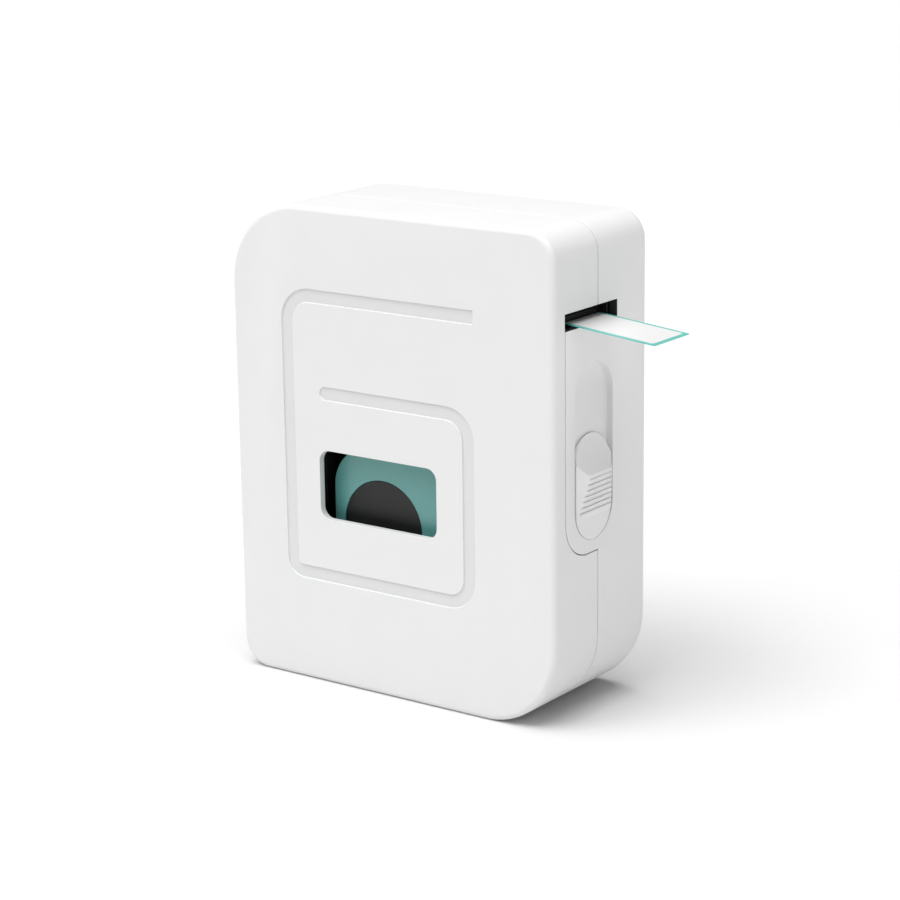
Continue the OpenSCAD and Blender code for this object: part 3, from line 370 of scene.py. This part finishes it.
# %% Rubber
GROUND_LINE, GROUND_DEPTH = 0.25, 0.01   # mm
made, tree, shader, where = surface("platen_rubber", 0.7, IOR=1.43)
ground = patches(tree, stretched(tree, where, (0.05, 1, 0.05)), GROUND_LINE)
tone(tree, shader, ground.outputs[0], "#1A1A1A", "#272727")
relief(tree, shader, ground.outputs[0], GROUND_DEPTH)
finishes["platen_rubber"] = made
print("rubber lines", GROUND_LINE, "mm apart")

# %% [markdown]
# ## Circuit board and flexible lead
# The board is glass epoxy under green lacquer, and its copper tracks show as lighter raised
# lines. Two crossed wave textures stand in for them: the brighter of the two is kept, and a Map
# Range narrows it to lines. The lead is amber polyimide with straight copper lines along it.

# %% Board and flex
TRACK, TRACK_DEPTH = 1.6, 0.02      # mm between tracks, drawn coarse, and their height
TRACK_EDGES = (0.88, 0.95)          # the part of a wave that counts as a track
made, tree, shader, where = surface("board_green", 0.3, IOR=1.55)
tracks = [add(tree, "TexWave", {"bands_direction": way},
              {"Vector": where, "Scale": WAVE_PERIOD / (TRACK * MM), "Distortion": 3.0,
               "Detail": 0.0})
          for way in ("X", "Z")]
crossed = add(tree, "Math", {"operation": "MAXIMUM"},
              {0: tracks[0].outputs["Fac"], 1: tracks[1].outputs["Fac"]})
narrow = add(tree, "MapRange", {}, {"Value": crossed.outputs[0], "From Min": TRACK_EDGES[0],
                                    "From Max": TRACK_EDGES[1]})
tone(tree, shader, narrow.outputs["Result"], "#0B3A1C", "#1C5A30")
relief(tree, shader, narrow.outputs["Result"], TRACK_DEPTH)
finishes["board_green"] = made

COPPER, COPPER_DEPTH = 0.6, 0.01    # mm between the copper lines, and their height
made, tree, shader, where = surface("flex_amber", 0.3, IOR=1.7)
copper = add(tree, "TexWave", {"bands_direction": "Y"},
             {"Vector": where, "Scale": WAVE_PERIOD / (COPPER * MM), "Distortion": 0.0})
tone(tree, shader, copper.outputs["Fac"], "#A05E18", "#C07E34")
relief(tree, shader, copper.outputs["Fac"], COPPER_DEPTH)
finishes["flex_amber"] = made
print("tracks", TRACK, "mm apart, copper lines", COPPER, "mm apart")

# %% [markdown]
# ## Ceramic and acrylic
# The print head is a fired ceramic bar, smooth and pale with a slight speckle. The light pipe is
# clear acrylic: most of its light passes through, and a faint cloudiness keeps it from looking
# like a hole.

# %% Ceramic and acrylic
SPECKLE, SPECKLE_DEPTH = 0.5, 0.001   # mm
made, tree, shader, where = surface("ceramic", 0.25, IOR=1.76)
fired = patches(tree, where, SPECKLE)
tone(tree, shader, fired.outputs[0], "#D6D0C2", "#E4E0D4")
relief(tree, shader, fired.outputs[0], SPECKLE_DEPTH)
finishes["ceramic"] = made

CLOUDS = 1.5        # mm
made, tree, shader, where = surface("clear_plastic", 0.12, IOR=1.49, Transmission_Weight=0.85)
cloudy = patches(tree, where, CLOUDS)
tone(tree, shader, cloudy.outputs[0], "#E4F0F4", "#F2F8FA")
gloss(tree, shader, cloudy.outputs[0], 0.08, 0.18)
finishes["clear_plastic"] = made
print(len(finishes), "finishes for the machine")

# %% [markdown]
# ## Floor
# The sweep is matt paper. A real sweep curves up behind the machine; a plain disc, much wider
# than the view, meets the white sky and looks the same.

# %% Floor
FLOOR_RADIUS, FLOOR_SIDES = 40, 64   # m
SWEEP = 40.0        # mm, the drift of tone in the paper
made, tree, shader, where = surface("floor_paper", 0.8)
sweep = patches(tree, where, SWEEP)
tone(tree, shader, sweep.outputs[0], "#E1E1E1", "#E3E3E3")
finishes["floor_paper"] = made

floor_mesh = bpy.data.meshes.new("floor")
disc = bmesh.new()
bmesh.ops.create_circle(disc, cap_ends=True, segments=FLOOR_SIDES, radius=FLOOR_RADIUS)
disc.to_mesh(floor_mesh)
disc.free()
floor_mesh.materials.append(finishes["floor_paper"])
floor = bpy.data.objects.new("floor", floor_mesh)
bpy.context.scene.collection.objects.link(floor)
print("floor", FLOOR_RADIUS, "m in radius")

# %% [markdown]
# ## Dress the measured solids
# Every solid keeps its own mesh and takes the finish of its slot. The pieces rebuilt further down
# hide theirs, but the finish is there for any that stays.

# %% Give each solid its finish
for node, solid in nodes.items():
    for holder in solid.material_slots:
        holder.material = finishes[slot_of[node]]
print("dressed", len(nodes), "solids")

# %% [markdown]
# ## Pieces
# A piece is a new mesh that takes a solid's place. It needs its finishes, smooth shading that
# breaks at the sharp edges, the body that it moves with, and the name of the solid it replaces.
# Doing that in one helper keeps the modelling cells about shape alone.

# %% A helper that finishes a mesh as a piece
SHARP = math.radians(30)


def make_piece(bm, name, node, finish_names, rides=True):
    """Turn a bmesh into a piece that stands for a node and, if it rides, moves with its body."""
    mesh = bpy.data.meshes.new(name)
    bm.to_mesh(mesh)
    bm.free()
    if "custom_normal" in mesh.attributes:
        mesh.attributes.remove(mesh.attributes["custom_normal"])
    for finish in finish_names:
        mesh.materials.append(finishes[finish])
    mesh.polygons.foreach_set("use_smooth", [True] * len(mesh.polygons))
    mesh.set_sharp_from_angle(angle=SHARP)
    piece = bpy.data.objects.new(name, mesh)
    bpy.context.scene.collection.objects.link(piece)
    if rides:
        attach(piece, nodes[node]["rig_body"])
    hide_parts(node)
    return piece


print("sharp means over", round(math.degrees(SHARP)), "degrees")

# %% [markdown]
# ## Soft edges
# A moulding never has a knife edge: the tool leaves a radius of a tenth of a millimetre or two,
# and that radius is what catches the light. A bevel needs edges that join two faces, and a
# measured solid comes as loose triangles, so a copy is merged first and its flat triangles are
# dissolved into whole faces. A Bevel modifier then rounds what is sharper than 30 degrees, and
# its width can still be changed afterwards.

# %% Helpers that merge and soften
SAME_POINT = 0.002              # mm between corners that are one
SAME_PLANE = math.radians(0.3)


def merged(node):
    """A copy of a node's loose triangles as one closed mesh of whole faces."""
    bm = bmesh.new()
    bm.from_mesh(nodes[node].data)
    bmesh.ops.remove_doubles(bm, verts=bm.verts, dist=SAME_POINT * MM)
    bmesh.ops.dissolve_limit(bm, angle_limit=SAME_PLANE, verts=bm.verts, edges=bm.edges)
    for face in bm.faces:
        face.material_index = 0
    return bm


def soften(piece, radius):
    """Round a piece's sharp edges by radius millimetres."""
    edge = piece.modifiers.new("edge", "BEVEL")
    edge.width, edge.segments, edge.profile = radius * MM, 2, 0.5
    edge.limit_method, edge.angle_limit = "ANGLE", SHARP
    edge.use_clamp_overlap, edge.harden_normals = False, True
    return piece


print("corners nearer than", SAME_POINT, "mm are merged")

# %% [markdown]
# ## The case
# The front lid and the rear shell take the moulded edge. Two places have their own finish: the
# floor of the groove that decorates the front, a touch darker, and the walls of the slot that the
# label comes out of, which get a dark grey of painted shade so that the opening reads as a dark
# mouth. Faces are picked by where they are and which way they look, because face numbers would
# change with any edit.

# %% Where the groove and the slot are
GROOVE_DEPTH = 0.35   # mm
CLOSE = 0.05          # mm
SLOT_BELOW, SLOT_ABOVE, SLOT_BESIDE, SLOT_DEEP = 2.5, 4.5, 4.0, 3.0   # mm round the label
FACES_FRONT, ALONG_X = -0.99, 0.5   # limits for a normal's y, and for how far it leans along x
groove_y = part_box("front_lid")[0][1] + GROOVE_DEPTH * MM
right_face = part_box("rear_shell")[1][0]
label_low, label_high = (Vector(corner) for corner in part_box("label_liner"))
in_slot = ((right_face - SLOT_DEEP * MM, right_face + CLOSE * MM),
           (label_low.y - SLOT_BESIDE * MM, label_high.y + SLOT_BESIDE * MM),
           (label_high.z - SLOT_BELOW * MM, label_high.z + SLOT_ABOVE * MM))
print("groove floor at y", round(groove_y / MM, 2), "mm, slot wall at x",
      round(right_face / MM, 2), "mm")

# %% Shells
CASE_RADIUS = 0.15    # mm
CASE_FINISHES = ("case_white", "groove_floor", "slot_painted_shade")
for node in ("front_lid", "rear_shell"):
    shell = merged(node)
    shell.normal_update()
    dark = groove = 0
    for face in shell.faces:
        centre = face.calc_center_median()
        inside = all(a < c < b for c, (a, b) in zip(centre, in_slot))
        if abs(centre.y - groove_y) < CLOSE * MM and face.normal.y < FACES_FRONT:
            face.material_index = CASE_FINISHES.index("groove_floor")
            groove += 1
        elif inside and abs(face.normal.x) < ALONG_X:
            # painted shade on the slot's walls, in place of the shadow that falls there
            face.material_index = CASE_FINISHES.index("slot_painted_shade")
            dark += 1
    soften(make_piece(shell, node + "_moulding", node, CASE_FINISHES), CASE_RADIUS)
    print(node, "groove faces", groove, "slot faces", dark)

# %% [markdown]
# ## Inside and small mouldings
# The cassette, the deck and the works behind them are mouldings, turned parts and pressed sheet.
# Their solids already have the right shape, so each gets the same treatment with a radius that
# suits its size and how it was made: wide on the cassette, almost none on pressed sheet. The
# screws and pins stay as measured, because nobody sees their edges, and so does the push switch,
# because its softened copy isn't closed.

# %% Soften the rest that shows
# node: edge radius in mm
SOFT = {
    "cassette_front": 0.15, "cassette_back": 0.15, "deck_plate": 0.12, "battery_cover": 0.1,
    "tape_spool": 0.08, "ribbon_spool": 0.06, "take_up_spool": 0.06, "slider_carriage": 0.1,
    "blade_holder": 0.08, "power_button": 0.12, "platen_bracket": 0.05, "head_heat_sink": 0.06,
    "print_head": 0.06, "motor_can": 0.1, "charging_socket": 0.04, "circuit_board": 0.05,
    "processor_chip": 0.06, "radio_module": 0.06, "flex_connector": 0.05,
    "platen_gear": 0.04, "upper_idler": 0.04, "lower_idler": 0.04, "take_up_spindle": 0.04,
}
OWN_FINISH = {"tape_spool": "spool_black"}
for node, radius in SOFT.items():
    finish = OWN_FINISH.get(node, slot_of[node])
    soften(make_piece(merged(node), node + "_moulding", node, (finish,)), radius)
print(len(SOFT), "softened pieces")

# %% [markdown]
# ## The cutter slider: its profile
# The thumb slider is a stadium-shaped key with a raised wedge: ribs climb a ramp to a ridge, and
# a smooth scoop falls from the ridge to the nose. Seen from the side that is one outline, so it
# is drawn first. The ribs are a loop up the ramp, and the scoop is a curve that leaves the ridge
# towards one pull point and lands on the nose.

# %% Slider profile
slider_low, slider_high = (Vector(corner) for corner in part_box("slider_button"))
RIBS, PITCH, RIB_W, RIB_RISE = 8, 1.2, 0.6, 0.35      # mm
KEY_WIDE, KEY_DEEP, TIP_DROP = 13.1, 1.3, 1.0         # mm
RIDGE_UP, RIDGE_DOWN = 1.74, 7.8                      # mm above the wall, and below the key's top
SCOOP_DOWN, SCOOP_SINK = 6.3, 0.3                     # mm, where the scoop would reach the wall
SCOOP_STEPS = 10
BEHIND_WALL = 0.1                                     # mm, the key's face lies this far in
key_r = KEY_WIDE / 2 * MM
key_y = (slider_low.y + slider_high.y) / 2
face_x = right_face - BEHIND_WALL * MM
key_back = face_x - KEY_DEEP * MM
ridge = Vector((right_face + RIDGE_UP * MM, key_y, slider_high.z - RIDGE_DOWN * MM))
foot = Vector((face_x, key_y, ridge.z - RIBS * PITCH * MM))
climb = ridge - foot
outline = [(key_back, slider_low.z), (face_x, slider_low.z), (foot.x, foot.z)]
for i in range(RIBS - 1, 0, -1):
    at = ridge - climb * (i / RIBS)
    for side, rise in ((-1, 0), (-1, RIB_RISE), (1, RIB_RISE), (1, 0)):
        z = at.z + side * RIB_W / 2 * MM
        slope = climb.x / climb.z * (z - at.z) if rise == 0 else 0
        outline.append((at.x + slope + rise * MM, z))
pull = Vector((face_x - SCOOP_SINK * MM, key_y, slider_high.z - SCOOP_DOWN * MM))
tip = Vector((face_x - TIP_DROP * MM, key_y, slider_high.z))
for i in range(SCOOP_STEPS + 1):
    t = i / SCOOP_STEPS
    at = ridge * (1 - t) ** 2 + pull * 2 * t * (1 - t) + tip * t ** 2
    outline.append((at.x, at.z))
outline.append((key_back, slider_high.z))
print(len(outline), "points in the slider's profile")

# %% [markdown]
# ## The cutter slider: slicing the key
# The outline is extruded across the key. Its round ends and the two facets that slant from the
# ridge to the edges could be cut with booleans, but they leave slivers where the ribs cross the
# cutter. A stadium is convex, so slicing along each side of it, and then along the two facets,
# gives one clean solid with no lumps inside.

# %% A helper that slices
FLAT = 1e-7         # m, a corner nearer the plane than this counts as on it


def slice_off(bm, point, away):
    """Cut away what lies on the side away points to, and close the cut."""
    everything = bm.verts[:] + bm.edges[:] + bm.faces[:]
    done = bmesh.ops.bisect_plane(bm, geom=everything, dist=FLAT, plane_co=point, plane_no=away,
                                  clear_outer=True)["geom_cut"]
    bmesh.ops.holes_fill(bm, edges=[g for g in done if isinstance(g, bmesh.types.BMEdge)])


def only_verts(geom):
    """The corners among what an operator returned."""
    return [g for g in geom if isinstance(g, bmesh.types.BMVert)]


print("slices are exact to", FLAT / MM, "mm")

# %% Slider
ROUND_SIDES = 48
FACET_RUN = 2.5                                       # mm inwards at the ridge
STEM_WIDE, STEM_TALL, STEM_UP = 3.8, 3.5, 2.6         # mm, the stem that goes through the wall
STEM_INTO_KEY = 0.1                                   # mm
SLIDER_RADIUS = 0.05                                  # mm
slider = bmesh.new()
side_face = slider.faces.new([slider.verts.new((x, key_y - key_r, z)) for x, z in outline])
across = bmesh.ops.extrude_face_region(slider, geom=[side_face])["geom"]
bmesh.ops.translate(slider, verts=only_verts(across), vec=(0, 2 * key_r, 0))
for i in range(ROUND_SIDES):
    angle = math.tau * (i + 0.5) / ROUND_SIDES
    away = Vector((0, math.cos(angle), math.sin(angle)))
    end_z = slider_high.z - key_r if away.z > 0 else slider_low.z + key_r
    slice_off(slider, Vector((0, key_y, end_z)) + away * key_r, away)
for side in (-1, 1):
    away = Vector((FACET_RUN * MM, side * (ridge.x - face_x), 0))
    slice_off(slider, Vector((face_x, key_y + side * key_r, 0)), away)
stem_long = key_back + STEM_INTO_KEY * MM - slider_low.x
stem_size = Matrix.Diagonal((stem_long, STEM_WIDE * MM, STEM_TALL * MM, 1))
stem_at = (slider_low.x + stem_long / 2, key_y, slider_low.z + (STEM_UP + STEM_TALL / 2) * MM)
bmesh.ops.create_cube(slider, size=1, matrix=Matrix.Translation(stem_at) @ stem_size)
bmesh.ops.recalc_face_normals(slider, faces=slider.faces)
open_edges = [e for e in slider.edges if not e.is_manifold]
print("slider", len(slider.faces), "faces,", len(open_edges), "open edges")
soften(make_piece(slider, "thumb_slider", "slider_button", ("slider_white",)), SLIDER_RADIUS)

# %% [markdown]
# ## Label and liner
# The label is a film stuck on a teal liner that shows as a narrow border. Both are flat strips
# that droop a little. Their outer corners are die-cut round, so each is a rectangle whose two
# outer corners are bevelled, given its thickness, and then tilted into place. A box with bevelled
# edges would round its thin sides too. Only the liner's upper side is dyed; its back is plain.

# %% A helper that cuts a strip
DROOP = math.radians(5.6)
CORNER_STEPS = 6
FACES_DOWN = -0.5   # a normal's z below this is an underside


def strip(name, node, thick, corner, margin=0.0):
    """A flat strip in a node's place, margin millimetres narrower on every free side."""
    low, high = (Vector(c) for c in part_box(node))
    base = high.z - thick * MM * math.cos(DROOP)
    long = (high.x - low.x - thick * MM * math.sin(DROOP)) / math.cos(DROOP)
    centre_y = (low.y + high.y) / 2
    bm = bmesh.new()
    sheet = bmesh.ops.create_grid(bm, x_segments=1, y_segments=1, size=0.5,
                                  matrix=Matrix.Diagonal((long, high.y - low.y, 1, 1)))["verts"]
    bmesh.ops.translate(bm, verts=sheet, vec=(long / 2, centre_y, 0))
    inset = margin * MM
    for vert in bm.verts:
        vert.co.y += inset if vert.co.y < centre_y else -inset
        vert.co.x -= inset if vert.co.x > long / 2 else 0
    outer = [v for v in bm.verts if v.co.x > long / 2]
    bmesh.ops.bevel(bm, geom=outer, offset=corner * MM, segments=CORNER_STEPS, profile=0.5,
                    affect="VERTICES", material=-1)
    thickened = bmesh.ops.extrude_face_region(bm, geom=bm.faces[:])["geom"]
    bmesh.ops.translate(bm, verts=only_verts(thickened), vec=(0, 0, thick * MM))
    bmesh.ops.recalc_face_normals(bm, faces=bm.faces)
    for face in bm.faces:
        face.material_index = 1 if face.normal.z < FACES_DOWN else 0
    tilt = Matrix.Translation((low.x, 0, base)) @ Matrix.Rotation(DROOP, 4, "Y")
    bmesh.ops.transform(bm, verts=bm.verts, matrix=tilt)
    print(name, round(long / MM, 2), "mm long")
    return make_piece(bm, name, node, (slot_of[node], "label_white"))


# %% Label
LINER_THICK, LINER_CORNER = 0.1, 0.4    # mm
LABEL_THICK, LABEL_CORNER = 0.05, 0.7   # mm
LABEL_INSET = 0.35                      # mm, so that more of the teal border shows
strip("liner_sheet", "label_liner", LINER_THICK, LINER_CORNER)
strip("label_film", "label_strip", LABEL_THICK, LABEL_CORNER, LABEL_INSET)

# %% [markdown]
# ## Springs
# A coil spring is one wire wound on a helix: a small circle spun round the axis while it climbs.
# A Screw modifier does the same, but a spin is one operator and its ends are there to be closed.
# The head's spring is pressed shorter when the head drops away, and the cutter's return spring is
# pulled longer. Here the head's coil rides with its body on a mesh of its own, and the cutter's
# coil rides with nothing, with its place baked into its mesh.

# %% A helper that winds a coil
TURN_STEPS = 20
WIRE_SIDES = 8


def coil(name, node, wire, turns, rides):
    """Wind a wire, wire millimetres in radius, inside a node's box, and return its place too."""
    low, high = (Vector(c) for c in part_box(node))
    centre = (low + high) / 2
    radius = (high.x - low.x) / 2 - wire * MM
    steps = TURN_STEPS * turns
    rise = (high.z - low.z - 2 * wire * MM) / steps
    bm = bmesh.new()
    start = Vector((centre.x + radius, centre.y, low.z + wire * MM))
    ring = bmesh.ops.create_circle(bm, cap_ends=False, segments=WIRE_SIDES, radius=wire * MM,
                                   matrix=Matrix.Translation(start)
                                   @ Matrix.Rotation(math.radians(90), 4, "X"))["verts"]
    edges = list({e for v in ring for e in v.link_edges})
    bmesh.ops.spin(bm, geom=edges, cent=(centre.x, centre.y, 0), axis=(0, 0, 1),
                   dvec=(0, 0, rise), angle=math.tau * turns, steps=steps, use_merge=False)
    bmesh.ops.holes_fill(bm, edges=[e for e in bm.edges if e.is_boundary])
    bmesh.ops.recalc_face_normals(bm, faces=bm.faces)
    print(name, len(bm.faces), "faces")
    return make_piece(bm, name, node, (slot_of[node],), rides), low, high, centre


# %% Coils
HEAD_WIRE, HEAD_TURNS = 0.15, 5          # mm in radius
CUTTER_WIRE, CUTTER_TURNS = 0.175, 14    # mm in radius
head_coil, low, high, centre = coil("head_spring_coil", "head_spring", HEAD_WIRE, HEAD_TURNS,
                                    True)
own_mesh(head_coil)
cutter_coil, low, high, centre = coil("cutter_spring_coil", "cutter_spring", CUTTER_WIRE,
                                      CUTTER_TURNS, False)
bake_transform(cutter_coil)

# %% [markdown]
# ## Bring the scene up to date
# The pieces must stay inside the measured box; this last step only brings the scene up to date.

# %% Update the scene
bpy.context.view_layer.update()
